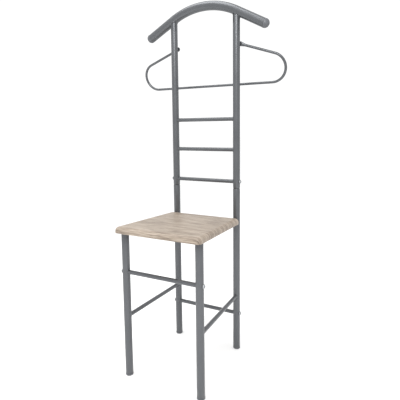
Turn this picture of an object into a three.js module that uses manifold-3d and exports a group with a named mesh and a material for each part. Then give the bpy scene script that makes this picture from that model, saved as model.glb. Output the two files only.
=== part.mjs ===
// Valet stand: a knock-down steel tube frame with a wood-finish seat board, a bent shoulder
// arch for a jacket and a wire loop behind it for trousers.
// Millimetres, +Z up. +X is the right of a person who looks at the front, -Y is the front.
// The origin is on the floor, under the middle of the whole stand.
import * as THREE from 'three';
import { mergeVertices } from 'three/addons/utils/BufferGeometryUtils.js';
import Module from 'manifold-3d';

const wasm = await Module();
wasm.setup();

// ---------------------------------------------------------------- driving dimensions
const gap = 0.3;                    // clearance between pieces that touch

const legDiameter = 22;             // legs and uprights, round steel tube
const legWall = 1.5;
const railDiameter = 12;            // rails and rungs, round steel tube
const railWall = 1.5;
const rearSpacing = 218;            // centre to centre, left to right
const frontSpacing = 237;
const depthSpacing = 271;           // front leg to rear leg

const frontRailHeight = 312.5;
const rearRailHeight = 120;
const sideRailHeight = 179;
const spliceHeight = 528;           // top of the rear legs, where the uprights plug in
const lowerRungHeight = 550;
const middleRungHeight = 650;
const upperRungHeight = 745;
const neckLength = 45;              // reduced end of an upright, inside the rear leg
const neckRise = 3;                 // height over which the upright narrows

const archDiameter = 28;
const archWall = 1.5;
const archTopHeight = 1094;         // centre line at the crown
const archBendRadius = 230;
const archArmAngle = THREE.MathUtils.degToRad(28.5);
const archHalfWidth = 197.5;        // centre line end
const archCapLength = 14;           // domed end beyond the tube
const archPlugLength = 14;

const wireDiameter = 8;
const wireBottomHeight = 854.5;
const wireStraightHalf = 206;       // straight part of the bottom run, half
const wireEndRadius = 44;
const wireTilt = THREE.MathUtils.degToRad(17.4);
const wireArmAngle = THREE.MathUtils.degToRad(19.4);
const tabLength = 26;               // flattened wire ends on the uprights
const tabHeight = 14;
const tabThickness = 3;

const seatFrontWidth = 273;
const seatRearWidth = 250;
const seatDepth = 290;
const seatThickness = 18;
const seatCornerRadius = 14;
const seatTopRound = 12;
const seatBottomRound = 1.5;
const seatFrontHeight = 429.8;      // underside at the front edge
const seatTilt = THREE.MathUtils.degToRad(2.1);
const bearerWidth = 16;             // flat bars that carry the board
const bearerThickness = 3;
const bearerInset = 6;              // from the leg axis towards the middle
const seatScrewInset = 45;          // from the front and rear ends of the board

const soleHeight = 5;               // part of a foot plug that stays below the leg
const soleLip = 0.3;                // by which it is wider than the leg
const soleRound = 2;
const footPlugLength = 16;          // part inside the leg
const footPlugWall = 1.5;

const boltDiameter = (railDiameter - 2 * railWall) * 2 / 3;
const boltHeadDiameter = 12;
const boltHeadHeight = 4;
const boltGrip = 14;                // thread inside a rail end
const boltTip = 0.8;                // height of its chamfer
const insertLength = 18;
const screwDiameter = 4;
const screwHeadDiameter = 8.5;
const screwHeadHeight = 2.8;
const seatScrewBite = 12;
const hangerScrewLength = 12;

const tubeSides = 24;
const railSides = 18;
const archSides = 20;
const archSteps = 28;
const wireSides = 10;
const smallSides = 14;

// ---------------------------------------------------------------- values that follow
const legRadius = legDiameter / 2;
const boreRadius = legRadius - legWall;
const railRadius = railDiameter / 2;
const archRadius = archDiameter / 2;
const wireRadius = wireDiameter / 2;
const neckRadius = boreRadius - gap;
const clearRadius = boltDiameter / 2 + gap;
const uprightBack = depthSpacing / 2 + legRadius;
const seatRear = depthSpacing / 2 - legRadius - 2 * gap;
const seatFront = seatRear - seatDepth * Math.cos(seatTilt);
const tabBack = uprightBack + gap + tabThickness;
const wireTopY = uprightBack + gap + wireRadius;
// height of the loop, measured in its own tilted plane, at the arms' tangent and at the tabs
const armTangentX = wireStraightHalf + wireEndRadius * Math.sin(wireArmAngle);
const armTangentRise = wireEndRadius * (1 + Math.cos(wireArmAngle));
const tabRise = armTangentRise + (armTangentX - rearSpacing / 2) * Math.tan(wireArmAngle);
const tabHeightCentre = wireBottomHeight + tabRise * Math.cos(wireTilt);
const tabSlope = Math.atan(Math.tan(wireArmAngle) * Math.cos(wireTilt));
const wireBottomY = wireTopY + tabRise * Math.sin(wireTilt);
const overallBack = wireBottomY + wireRadius;
const originY = (seatFront + overallBack) / 2;

// ---------------------------------------------------------------- finishes
const finish = {
  frame: { color: 0x8b8d90, roughness: 0.42, metalness: 0.55 },
  wood: { color: 0xc4b8a6, roughness: 0.55, metalness: 0.0 },
  plastic: { color: 0x7d7f80, roughness: 0.5, metalness: 0.0 },
  zinc: { color: 0xb4b6b8, roughness: 0.35, metalness: 0.85 },
};

const stand = new THREE.Group();
const frame = new THREE.Group();
frame.position.set(0, -originY, 0);
stand.add(frame);

function addPiece(name, geometry, finishName, parent = frame) {
  const mesh = new THREE.Mesh(geometry, new THREE.MeshStandardMaterial(finish[finishName]));
  mesh.name = name;
  parent.add(mesh);
  return mesh;
}

// ---------------------------------------------------------------- solids
function toSolid(geometry) {
  const bare = geometry.clone();
  bare.deleteAttribute('normal');
  bare.deleteAttribute('uv');
  const merged = mergeVertices(bare, 1e-4);
  return new wasm.Manifold(new wasm.Mesh({
    numProp: 3,
    vertProperties: new Float32Array(merged.attributes.position.array),
    triVerts: new Uint32Array(merged.index.array),
  }));
}

function toGeometry(solid) {
  const mesh = solid.getMesh();
  const geometry = new THREE.BufferGeometry();
  geometry.setAttribute('position', new THREE.BufferAttribute(mesh.vertProperties, 3));
  geometry.setIndex(new THREE.BufferAttribute(mesh.triVerts, 1));
  geometry.computeVertexNormals();
  return geometry;
}

function cut(geometry, ...tools) {
  return toGeometry(tools.reduce((solid, tool) => solid.subtract(toSolid(tool)), toSolid(geometry)));
}

function join(first, ...others) {
  return toGeometry(others.reduce((solid, other) => solid.add(toSolid(other)), toSolid(first)));
}

// A solid of revolution about Z. The profile is [radius, height] pairs and closes on itself.
function turned(profile, sides) {
  const points = profile.map(([r, z]) => new THREE.Vector2(r, z));
  points.push(points[0].clone());
  const geometry = new THREE.LatheGeometry(points, sides);
  geometry.rotateX(Math.PI / 2);
  return geometry;
}

function tube(outer, inner, low, high, sides) {
  return turned([[inner, low], [outer, low], [outer, high], [inner, high]], sides);
}

function rod(radius, low, high, sides) {
  const geometry = new THREE.CylinderGeometry(radius, radius, high - low, sides);
  geometry.rotateX(Math.PI / 2);
  geometry.translate(0, 0, (low + high) / 2);
  return geometry;
}

// Turns a solid made along Z so that it runs from one point towards another.
function aim(geometry, from, to) {
  const direction = new THREE.Vector3().subVectors(to, from).normalize();
  const turn = new THREE.Quaternion().setFromUnitVectors(new THREE.Vector3(0, 0, 1), direction);
  geometry.applyQuaternion(turn);
  geometry.translate(from.x, from.y, from.z);
  return geometry;
}

function rodBetween(radius, from, to, sides) {
  return aim(rod(radius, 0, from.distanceTo(to), sides), from, to);
}

// A rail whose ends are shaped to the two round tubes that it meets.
function copedRail(from, to, tubeRadius) {
  const straight = tube(railRadius, railRadius - railWall, 0, from.distanceTo(to), railSides);
  const rail = aim(straight, from, to);
  const reach = railDiameter * 2;
  const saddle = ({ x, y, z }) => {
    const leg = rod(tubeRadius + gap, z - reach, z + reach, tubeSides);
    return leg.translate(x, y, 0);
  };
  return cut(rail, saddle(from), saddle(to));
}

// ---------------------------------------------------------------- places
const sides = { left: -1, right: 1 };
const rearAt = (side, height) => new THREE.Vector3(side * rearSpacing / 2, depthSpacing / 2, height);
const frontAt = (side, height) => new THREE.Vector3(side * frontSpacing / 2, -depthSpacing / 2, height);
const seatUnderside = (y) => seatFrontHeight - (y - seatFront) * Math.tan(seatTilt);

// ---------------------------------------------------------------- bolts and their holes
// Each rail that comes off is held by one bolt at each end, put in from outside.
const bolted = [
  { name: 'front_rail', place: frontAt, height: frontRailHeight },
  { name: 'rear_rail', place: rearAt, height: rearRailHeight },
  { name: 'lower_rung', place: rearAt, height: lowerRungHeight },
];

function boltHole(place, side, height) {
  const middle = place(side, height);
  const out = new THREE.Vector3(legDiameter, 0, 0);
  return rodBetween(clearRadius, middle.clone().sub(out), middle.clone().add(out), smallSides);
}

function boltGeometry() {
  const head = boltHeadDiameter / 2;
  const seatAt = legRadius + gap;
  const tip = -(legRadius + boltGrip);
  return turned([
    [0, tip],
    [boltDiameter / 2 - boltTip, tip],
    [boltDiameter / 2, tip + boltTip],
    [boltDiameter / 2, seatAt],
    [head, seatAt],
    [head, seatAt + boltHeadHeight * 0.35],
    [head * 0.8, seatAt + boltHeadHeight * 0.8],
    [head * 0.4, seatAt + boltHeadHeight],
    [0, seatAt + boltHeadHeight],
  ], smallSides);
}

function insertGeometry() {
  const start = legRadius + 2 * gap + legWall;
  return tube(railRadius - railWall - gap, clearRadius, start, start + insertLength, smallSides);
}

for (const { name, place, height } of bolted) {
  for (const [label, side] of Object.entries(sides)) {
    const middle = place(side, height);
    const outwards = middle.clone().add(new THREE.Vector3(side, 0, 0));
    const inwards = middle.clone().sub(new THREE.Vector3(side, 0, 0));
    addPiece(`${name}_bolt_${label}`, aim(boltGeometry(), middle, outwards), 'zinc');
    addPiece(`${name}_insert_${label}`, aim(insertGeometry(), middle, inwards), 'zinc');
  }
  addPiece(name, copedRail(place(-1, height), place(1, height), legRadius), 'frame');
}

// ---------------------------------------------------------------- seat, in its tilted group
// The group's origin is the middle of the rear lower edge of the board.
const seat = new THREE.Group();
seat.position.set(0, seatRear, seatUnderside(seatRear));
seat.rotation.x = -seatTilt;
frame.add(seat);

// The board's outline is a trapezoid, wider in front, with round corners.
function roundedTrapezoid(frontWidth, rearWidth, depth, radius) {
  const lean = Math.atan2((frontWidth - rearWidth) / 2, depth);
  const frontX = frontWidth / 2 - radius * (1 + Math.sin(lean)) / Math.cos(lean);
  const rearX = rearWidth / 2 - radius * (1 - Math.sin(lean)) / Math.cos(lean);
  const shape = new THREE.Shape();
  shape.absarc(frontX, -depth + radius, radius, -Math.PI / 2, lean);
  shape.absarc(rearX, -radius, radius, lean, Math.PI / 2);
  shape.absarc(-rearX, -radius, radius, Math.PI / 2, Math.PI - lean);
  shape.absarc(-frontX, -depth + radius, radius, Math.PI - lean, Math.PI * 1.5);
  return shape;
}
const seatOutline = roundedTrapezoid(seatFrontWidth, seatRearWidth, seatDepth, seatCornerRadius);

// A slab with rounded rims. The outline is the full size, and the rim is taken off inside it.
function slab(low, high, rim, rimSteps) {
  const geometry = new THREE.ExtrudeGeometry(seatOutline, {
    depth: high - low - 2 * rim,
    bevelEnabled: true,
    bevelThickness: rim,
    bevelSize: rim,
    bevelOffset: -rim,
    bevelSegments: rimSteps,
    curveSegments: 6,
  });
  geometry.translate(0, 0, low + rim);
  return geometry;
}

const bearerX = (y) => {
  const share = (y + depthSpacing / 2) / depthSpacing;
  return THREE.MathUtils.lerp(frontSpacing, rearSpacing, share) / 2 - bearerInset;
};
const seatScrewPlaces = [];
for (const [label, side] of Object.entries(sides)) {
  for (const [row, back] of [['front', seatDepth - seatScrewInset], ['rear', seatScrewInset]]) {
    const x = side * bearerX(seatRear - back);
    seatScrewPlaces.push({ name: `seat_screw_${row}_${label}`, x, y: -back });
  }
}

const bearerTop = -gap;
const bearerLow = bearerTop - bearerThickness;
const pilotHoles = seatScrewPlaces.map(({ x, y }) =>
  rod(screwDiameter / 2 + gap, -1, seatScrewBite + 1, smallSides).translate(x, y, 0));
// The upper slab's lower rim would show below the board, so it is cut off there.
const upperSlabLow = seatThickness - 2 * seatTopRound - 2;
const belowBoard = new THREE.BoxGeometry(seatFrontWidth * 2, seatDepth * 3, seatDepth);
belowBoard.translate(0, 0, -seatDepth / 2);
const board = join(
  cut(slab(upperSlabLow, seatThickness, seatTopRound, 5), belowBoard),
  slab(0, seatThickness - seatTopRound, seatBottomRound, 2),
);
addPiece('seat_board', cut(board, ...pilotHoles), 'wood', seat);

// Flat bars from the front legs' tops to the rear legs, seen only from below.
const bearerFrontEnd = -depthSpacing / 2 - legRadius + 1;
const bearerRearEnd = depthSpacing / 2;
function bearerBar(side, low, high) {
  const front = new THREE.Vector2(side * bearerX(bearerFrontEnd), bearerFrontEnd - seatRear);
  const rear = new THREE.Vector2(side * bearerX(bearerRearEnd), bearerRearEnd - seatRear);
  const half = bearerWidth / 2;
  const shape = new THREE.Shape([
    new THREE.Vector2(front.x - half, front.y),
    new THREE.Vector2(front.x + half, front.y),
    new THREE.Vector2(rear.x + half, rear.y),
    new THREE.Vector2(rear.x - half, rear.y),
  ]);
  const geometry = new THREE.ExtrudeGeometry(shape, { depth: high - low, bevelEnabled: false });
  geometry.translate(0, 0, low);
  return geometry;
}

function inSeatGroup(geometry) {
  const toSeat = new THREE.Matrix4().makeRotationX(seatTilt);
  geometry.translate(0, -seatRear, -seatUnderside(seatRear));
  geometry.applyMatrix4(toSeat);
  return geometry;
}

for (const [label, side] of Object.entries(sides)) {
  const legClear = rod(legRadius + gap, seatFrontHeight - 60, seatFrontHeight + 60, tubeSides);
  legClear.translate(side * rearSpacing / 2, depthSpacing / 2, 0);
  const holes = seatScrewPlaces.filter(({ x }) => x * side > 0).map(({ x, y }) =>
    rod(screwDiameter / 2 + gap, bearerLow - 1, bearerTop + 1, smallSides).translate(x, y, 0));
  const bar = cut(bearerBar(side, bearerLow, bearerTop), inSeatGroup(legClear), ...holes);
  addPiece(`seat_bearer_${label}`, bar, 'frame', seat);
}

for (const { name, x, y } of seatScrewPlaces) {
  const under = bearerLow - gap;
  const screw = turned([
    [0, under - screwHeadHeight],
    [screwHeadDiameter * 0.3, under - screwHeadHeight],
    [screwHeadDiameter / 2, under - screwHeadHeight * 0.4],
    [screwHeadDiameter / 2, under],
    [screwDiameter / 2, under],
    [screwDiameter / 2, seatScrewBite - 2],
    [0, seatScrewBite],
  ], smallSides);
  addPiece(name, screw.translate(x, y, 0), 'zinc', seat);
}

// ---------------------------------------------------------------- legs and side rails
const tubeFloor = soleHeight + gap;
for (const [label, side] of Object.entries(sides)) {
  const front = frontAt(side, 0);
  const rear = rearAt(side, 0);

  // The front leg's open top is cut to the slope of the flat bar that lies on it.
  const slope = new THREE.BoxGeometry(legDiameter * 3, legDiameter * 3, 40);
  slope.translate(0, 0, 20);
  slope.rotateX(-seatTilt);
  slope.translate(front.x, front.y, seatUnderside(front.y) + (bearerLow - gap) / Math.cos(seatTilt));
  const frontTube = tube(legRadius, boreRadius, tubeFloor, seatFrontHeight + 10, tubeSides);
  frontTube.translate(front.x, front.y, 0);
  const frontHole = boltHole(frontAt, side, frontRailHeight);
  addPiece(`front_leg_${label}`, cut(frontTube, slope, frontHole), 'frame');

  const rearTube = tube(legRadius, boreRadius, tubeFloor, spliceHeight, tubeSides);
  rearTube.translate(rear.x, rear.y, 0);
  addPiece(`rear_leg_${label}`, cut(rearTube, boltHole(rearAt, side, rearRailHeight)), 'frame');

  const sideRail = copedRail(frontAt(side, sideRailHeight), rearAt(side, sideRailHeight), legRadius);
  addPiece(`side_rail_${label}`, sideRail, 'frame');
}

// ---------------------------------------------------------------- feet
// A foot is a plug with a round sole a little wider than the leg, and a hollow stem inside it.
function footGeometry() {
  const sole = legRadius + soleLip;
  const stem = boreRadius - gap;
  const top = soleHeight + footPlugLength;
  return turned([
    [0, 0],
    [sole - soleRound, 0],
    [sole - soleRound * 0.3, soleRound * 0.3],
    [sole, soleRound],
    [sole, soleHeight - soleLip],
    [sole - soleLip, soleHeight],
    [stem, soleHeight],
    [stem, top - 1],
    [stem - 1, top],
    [stem - footPlugWall, top],
    [stem - footPlugWall, soleHeight],
    [0, soleHeight],
  ], tubeSides);
}
for (const [label, side] of Object.entries(sides)) {
  for (const [row, place] of [['front', frontAt], ['rear', rearAt]]) {
    const { x, y } = place(side, 0);
    addPiece(`foot_cap_${row}_${label}`, footGeometry().translate(x, y, 0), 'plastic');
  }
}

// ---------------------------------------------------------------- shoulder arch
// The crown is an arc and the arms run straight down from it.
class ArchCurve extends THREE.Curve {
  getPoint(t, target = new THREE.Vector3()) {
    const arcHalf = archBendRadius * archArmAngle;
    const crownHalfWidth = archBendRadius * Math.sin(archArmAngle);
    const armLength = (archHalfWidth - crownHalfWidth) / Math.cos(archArmAngle);
    const along = (2 * t - 1) * (arcHalf + armLength);
    const side = Math.sign(along) || 1;
    const bend = Math.min(Math.abs(along), arcHalf) / archBendRadius;
    const arm = Math.max(Math.abs(along) - arcHalf, 0);
    const x = archBendRadius * Math.sin(bend) + arm * Math.cos(archArmAngle);
    const z = archTopHeight - archBendRadius * (1 - Math.cos(bend)) - arm * Math.sin(archArmAngle);
    return target.set(side * x, depthSpacing / 2, z);
  }
}
const archCurve = new ArchCurve();

function ringShape(outer, inner, count) {
  const circle = (radius) => Array.from({ length: count }, (_, i) => {
    const angle = (2 * Math.PI * i) / count;
    return new THREE.Vector2(radius * Math.cos(angle), radius * Math.sin(angle));
  });
  const shape = new THREE.Shape(circle(outer));
  if (inner > 0) shape.holes.push(new THREE.Path(circle(inner)));
  return shape;
}

function sweep(curve, outer, inner, count, steps) {
  return new THREE.ExtrudeGeometry(ringShape(outer, inner, count), { steps, extrudePath: curve });
}

const arch = sweep(archCurve, archRadius, archRadius - archWall, archSides, archSteps);
addPiece('shoulder_arch', arch, 'frame');

for (const [label, side] of Object.entries(sides)) {
  const end = archCurve.getPoint(side < 0 ? 0 : 1);
  const outwards = new THREE.Vector3(
    side * Math.cos(archArmAngle), 0, -Math.sin(archArmAngle),
  );
  const plugRadius = archRadius - archWall - gap;
  const domeSteps = 6;
  const dome = Array.from({ length: domeSteps - 1 }, (_, i) => {
    const angle = (Math.PI / 2 * (i + 1)) / domeSteps;
    return [archRadius * Math.cos(angle), gap + (archCapLength - gap) * Math.sin(angle)];
  });
  const cap = turned([
    [0, -archPlugLength],
    [plugRadius - 1, -archPlugLength],
    [plugRadius, -archPlugLength + 1],
    [plugRadius, gap],
    [archRadius, gap],
    ...dome,
    [0, archCapLength],
  ], archSides);
  addPiece(`arch_cap_${label}`, aim(cap, end, end.clone().add(outwards)), 'plastic');
}

// ---------------------------------------------------------------- uprights and rungs
// An upright is one tube: a reduced lower end, a short taper and a top shaped to the arch.
function uprightGeometry(side) {
  const neckInner = neckRadius - legWall;
  const neckLow = spliceHeight - neckLength;
  const taperLow = spliceHeight + gap;
  const taperHigh = taperLow + neckRise;
  const body = turned([
    [neckInner, neckLow],
    [neckRadius, neckLow],
    [neckRadius, taperLow],
    [legRadius, taperHigh],
    [legRadius, archTopHeight],
    [boreRadius, archTopHeight],
    [boreRadius, taperHigh],
    [neckInner, taperLow],
  ], tubeSides);
  const { x, y } = rearAt(side, 0);
  body.translate(x, y, 0);
  const archClear = sweep(archCurve, archRadius + gap, 0, archSides, archSteps);
  const above = new THREE.BoxGeometry(archHalfWidth, legDiameter * 2, archBendRadius);
  above.rotateY(side * archArmAngle);
  const crown = archTopHeight - archBendRadius * (1 - Math.cos(archArmAngle));
  above.translate(x, y, crown + archBendRadius / 2 / Math.cos(archArmAngle));
  const screwHole = rodBetween(
    screwDiameter / 2 + gap,
    new THREE.Vector3(x, y, tabHeightCentre),
    new THREE.Vector3(x, y + legDiameter, tabHeightCentre),
    smallSides,
  );
  return cut(body, archClear, above, boltHole(rearAt, side, lowerRungHeight), screwHole);
}

for (const [label, side] of Object.entries(sides)) {
  addPiece(`upright_${label}`, uprightGeometry(side), 'frame');
}
for (const [name, height] of [['middle_rung', middleRungHeight], ['upper_rung', upperRungHeight]]) {
  addPiece(name, copedRail(rearAt(-1, height), rearAt(1, height), legRadius), 'frame');
}

// ---------------------------------------------------------------- wire loop
// The loop hangs behind the uprights in a plane that leans back, and its two ends are
// pressed flat and screwed to the uprights.
function loopPoint(x, rise) {
  return new THREE.Vector3(
    x,
    wireBottomY - rise * Math.sin(wireTilt),
    wireBottomHeight + rise * Math.cos(wireTilt),
  );
}

function loopPoints() {
  const bendSteps = 9;
  const turn = Math.PI - wireArmAngle;
  const half = [loopPoint(0, 0), loopPoint(wireStraightHalf / 2, 0)];
  for (let i = 0; i <= bendSteps; i += 1) {
    const angle = (turn * i) / bendSteps;
    half.push(loopPoint(
      wireStraightHalf + wireEndRadius * Math.sin(angle),
      wireEndRadius * (1 - Math.cos(angle)),
    ));
  }
  half.push(loopPoint(rearSpacing / 2, tabRise));
  const mirrored = half.slice(1).reverse().map(({ x, y, z }) => new THREE.Vector3(-x, y, z));
  return [...mirrored, ...half];
}

// Straight stretches between the points, so that a bend has as many facets as it needs.
class PolylineCurve extends THREE.Curve {
  constructor(points) {
    super();
    this.points = points;
  }

  getPoint(t, target = new THREE.Vector3()) {
    const last = this.points.length - 1;
    const place = t * last;
    const index = Math.min(Math.floor(place), last - 1);
    return target.lerpVectors(this.points[index], this.points[index + 1], place - index);
  }

  // One step for each stretch, however long it is.
  getPointAt(u, target) {
    return this.getPoint(u, target);
  }

  getTangentAt(u, target = new THREE.Vector3()) {
    const last = this.points.length - 1;
    const nearest = Math.round(u * last);
    const before = this.points[Math.max(nearest - 1, 0)];
    const after = this.points[Math.min(nearest + 1, last)];
    const here = this.points[nearest];
    const arriving = new THREE.Vector3().subVectors(here, before).normalize();
    const leaving = new THREE.Vector3().subVectors(after, here).normalize();
    return target.addVectors(arriving, leaving).normalize();
  }

  getSpacedPoints() {
    return this.points.map((point) => point.clone());
  }
}

const wirePath = new PolylineCurve(loopPoints());
const wireSteps = wirePath.points.length - 1;
const wire = sweep(wirePath, wireRadius, 0, wireSides, wireSteps);
const tabY = uprightBack + gap + tabThickness / 2;
const tabs = Object.values(sides).map((side) => {
  const tab = new THREE.BoxGeometry(tabLength, tabThickness, tabHeight);
  tab.rotateY(side * tabSlope);
  return tab.translate(side * rearSpacing / 2, tabY, tabHeightCentre);
});
// The round wire stops at the flat end's back, so the screw head has a flat seat.
const wireTrims = Object.values(sides).flatMap((side) => {
  const x = side * rearSpacing / 2;
  const behind = new THREE.BoxGeometry(tabLength, legDiameter, tabHeight * 2);
  behind.rotateY(side * tabSlope);
  behind.translate(x, tabBack + legDiameter / 2, tabHeightCentre);
  const infront = new THREE.BoxGeometry(tabLength * 3, legDiameter, tabHeight * 3);
  infront.translate(x, uprightBack + gap - legDiameter / 2, tabHeightCentre);
  return [behind, infront];
});
const screwHoles = Object.values(sides).map((side) => rodBetween(
  screwDiameter / 2 + gap,
  new THREE.Vector3(side * rearSpacing / 2, uprightBack - 1, tabHeightCentre),
  new THREE.Vector3(side * rearSpacing / 2, tabBack + 1, tabHeightCentre),
  smallSides,
));
addPiece('hanger_wire', cut(join(cut(wire, ...wireTrims), ...tabs), ...screwHoles), 'frame');

for (const [label, side] of Object.entries(sides)) {
  const under = tabBack + gap;
  const screw = turned([
    [0, -hangerScrewLength],
    [screwDiameter / 2 - 0.5, -hangerScrewLength],
    [screwDiameter / 2, -hangerScrewLength + 1],
    [screwDiameter / 2, 0],
    [screwHeadDiameter / 2, 0],
    [screwHeadDiameter / 2, screwHeadHeight * 0.5],
    [screwHeadDiameter * 0.3, screwHeadHeight],
    [0, screwHeadHeight],
  ], smallSides);
  const seatPoint = new THREE.Vector3(side * rearSpacing / 2, under, tabHeightCentre);
  const backwards = seatPoint.clone().add(new THREE.Vector3(0, 1, 0));
  addPiece(`hanger_screw_${label}`, aim(screw, seatPoint, backwards), 'zinc');
}

export default stand;
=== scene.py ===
"""Looks of a valet stand: painted steel tubes, a foil-wrapped seat board and plastic caps.

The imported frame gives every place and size. Each class below rebuilds one sub-assembly of the
stand with smooth turned, bent and coped surfaces, and dresses it. Lengths are in metres.
"""
import logging
import math
from dataclasses import dataclass, field
from enum import Enum
from typing import Callable, Iterable, Sequence

import bmesh
import bpy
from mathutils import Matrix, Vector


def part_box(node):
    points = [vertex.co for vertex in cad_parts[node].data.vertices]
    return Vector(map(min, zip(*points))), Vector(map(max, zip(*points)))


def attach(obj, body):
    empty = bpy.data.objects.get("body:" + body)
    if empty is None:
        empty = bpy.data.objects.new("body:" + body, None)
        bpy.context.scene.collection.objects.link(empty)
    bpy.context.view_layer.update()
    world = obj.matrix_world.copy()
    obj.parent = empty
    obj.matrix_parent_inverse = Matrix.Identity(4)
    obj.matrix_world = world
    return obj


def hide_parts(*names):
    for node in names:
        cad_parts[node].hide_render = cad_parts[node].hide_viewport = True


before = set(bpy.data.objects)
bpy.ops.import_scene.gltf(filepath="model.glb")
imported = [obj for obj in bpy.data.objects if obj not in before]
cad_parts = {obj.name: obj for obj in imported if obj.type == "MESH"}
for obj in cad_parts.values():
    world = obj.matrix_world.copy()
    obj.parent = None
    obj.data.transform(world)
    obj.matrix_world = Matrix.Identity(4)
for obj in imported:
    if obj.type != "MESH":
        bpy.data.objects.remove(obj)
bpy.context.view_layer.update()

LOG = logging.getLogger("valet_stand")
MM = 0.001
RING_SPACING = 40.0 * MM  # a long tube has a ring at least this often
UP = Vector((0.0, 0.0, 1.0))
RIGHTWARDS = Vector((1.0, 0.0, 0.0))
BACKWARDS = Vector((0.0, 1.0, 0.0))
POLE = 0.002 * MM       # a ring this small stands for a point on the axis
WELD_LIMIT = 0.01 * MM  # vertices closer than this are one vertex
BODY = "root"


class Side(Enum):
    """The left and right halves of the stand, as a person who faces it sees them."""

    LEFT = -1
    RIGHT = 1

    @property
    def label(self) -> str:
        """The word that ends this side's node names."""
        return self.name.lower()


class Row(Enum):
    """The front and rear pairs of legs."""

    FRONT = "front"
    REAR = "rear"


# ---------------------------------------------------------------- materials


def srgb(code: str) -> tuple[float, float, float, float]:
    """Turns an sRGB hex colour into the linear colour that shaders use.

    Args:
        code: six hex digits, such as "8a8c8f".

    Returns:
        Linear red, green, blue and an alpha of 1.
    """
    channels = [int(code[i:i + 2], 16) / 255 for i in (0, 2, 4)]
    linear = [c / 12.92 if c <= 0.04045 else ((c + 0.055) / 1.055) ** 2.4 for c in channels]
    return (linear[0], linear[1], linear[2], 1.0)


def add_node(
    tree: bpy.types.NodeTree,
    kind: str,
    settings: dict[str, object] | None = None,
    links: dict[str | int, bpy.types.NodeSocket] | None = None,
) -> bpy.types.Node:
    """Adds one shader node, sets it and links it.

    Args:
        tree: the node tree to add to.
        kind: the node's type name, without the leading "ShaderNode".
        settings: attribute values, or input values by socket name or number.
        links: what feeds each input, by socket name or number.

    Returns:
        The new node.
    """
    node = tree.nodes.new("ShaderNode" + kind)
    for name, value in (settings or {}).items():
        if isinstance(name, str) and hasattr(node, name):
            setattr(node, name, value)
        else:
            node.inputs[name].default_value = value
    for name, source in (links or {}).items():
        tree.links.new(source, node.inputs[name])
    return node


def colour_ramp(
    tree: bpy.types.NodeTree, source: bpy.types.NodeSocket, stops: Sequence[tuple[float, str]]
) -> bpy.types.NodeSocket:
    """Maps a grey value to colours.

    Args:
        tree: the node tree to add to.
        source: the grey value.
        stops: place and sRGB hex colour of each stop, in order.

    Returns:
        The colour output.
    """
    ramp = add_node(tree, "ValToRGB", links={"Fac": source})
    elements = ramp.color_ramp.elements
    while len(elements) < len(stops):
        elements.new(0.5)
    for element, (place, code) in zip(elements, stops):
        element.position = place
        element.color = srgb(code)
    return ramp.outputs["Color"]


def new_material(name: str) -> tuple[bpy.types.Material, bpy.types.NodeTree, bpy.types.Node]:
    """Starts a node material.

    Args:
        name: the material's name.

    Returns:
        The material, its node tree and its Principled shader.
    """
    material = bpy.data.materials.new(name)
    material.use_nodes = True
    tree = material.node_tree
    return material, tree, tree.nodes["Principled BSDF"]


def per_metre(millimetres: float) -> float:
    """Gives the Noise or Voronoi scale whose features are this many millimetres wide."""
    return 1.0 / (millimetres * MM)


@dataclass(frozen=True)
class PowderCoat:
    """Silver-grey polyester powder baked on steel tube.

    The melted powder leaves a faint orange-peel skin, and the metal flakes in it give a soft,
    broad highlight instead of a mirror.
    """

    name: str = "silver_grey_powder_coat"
    shade: str = "5e6063"
    shade_deep: str = "56585b"
    roughness: float = 0.31
    metallic: float = 0.55
    peel_mm: float = 2.4
    flake_mm: float = 0.45
    cloud_mm: float = 60.0

    def build(self) -> bpy.types.Material:
        """Makes the material."""
        material, tree, shader = new_material(self.name)
        place = add_node(tree, "TexCoord").outputs["Object"]
        cloud = add_node(
            tree, "TexNoise", {"Scale": per_metre(self.cloud_mm), "Detail": 3.0}, {"Vector": place}
        )
        flake = add_node(
            tree, "TexNoise", {"Scale": per_metre(self.flake_mm), "Detail": 1.0}, {"Vector": place}
        )
        peel = add_node(
            tree, "TexNoise", {"Scale": per_metre(self.peel_mm), "Detail": 2.0}, {"Vector": place}
        )
        mixed = add_node(
            tree,
            "Mix",
            {"data_type": "FLOAT", 0: 0.35},
            {2: cloud.outputs["Fac"], 3: flake.outputs["Fac"]},
        )
        colour = colour_ramp(
            tree, mixed.outputs[0], [(0.3, self.shade_deep), (0.7, self.shade)]
        )
        rough = add_node(
            tree,
            "MapRange",
            {"To Min": self.roughness - 0.04, "To Max": self.roughness + 0.06},
            {"Value": cloud.outputs["Fac"]},
        )
        bump = add_node(
            tree,
            "Bump",
            {"Strength": 0.05, "Distance": 0.08 * MM},
            {"Height": peel.outputs["Fac"]},
        )
        shader.inputs["Metallic"].default_value = self.metallic
        shader.inputs["IOR"].default_value = 1.5
        shader.inputs["Coat Weight"].default_value = 0.12
        shader.inputs["Coat Roughness"].default_value = 0.25
        tree.links.new(colour, shader.inputs["Base Color"])
        tree.links.new(rough.outputs["Result"], shader.inputs["Roughness"])
        tree.links.new(bump.outputs["Normal"], shader.inputs["Normal"])
        return material


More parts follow.
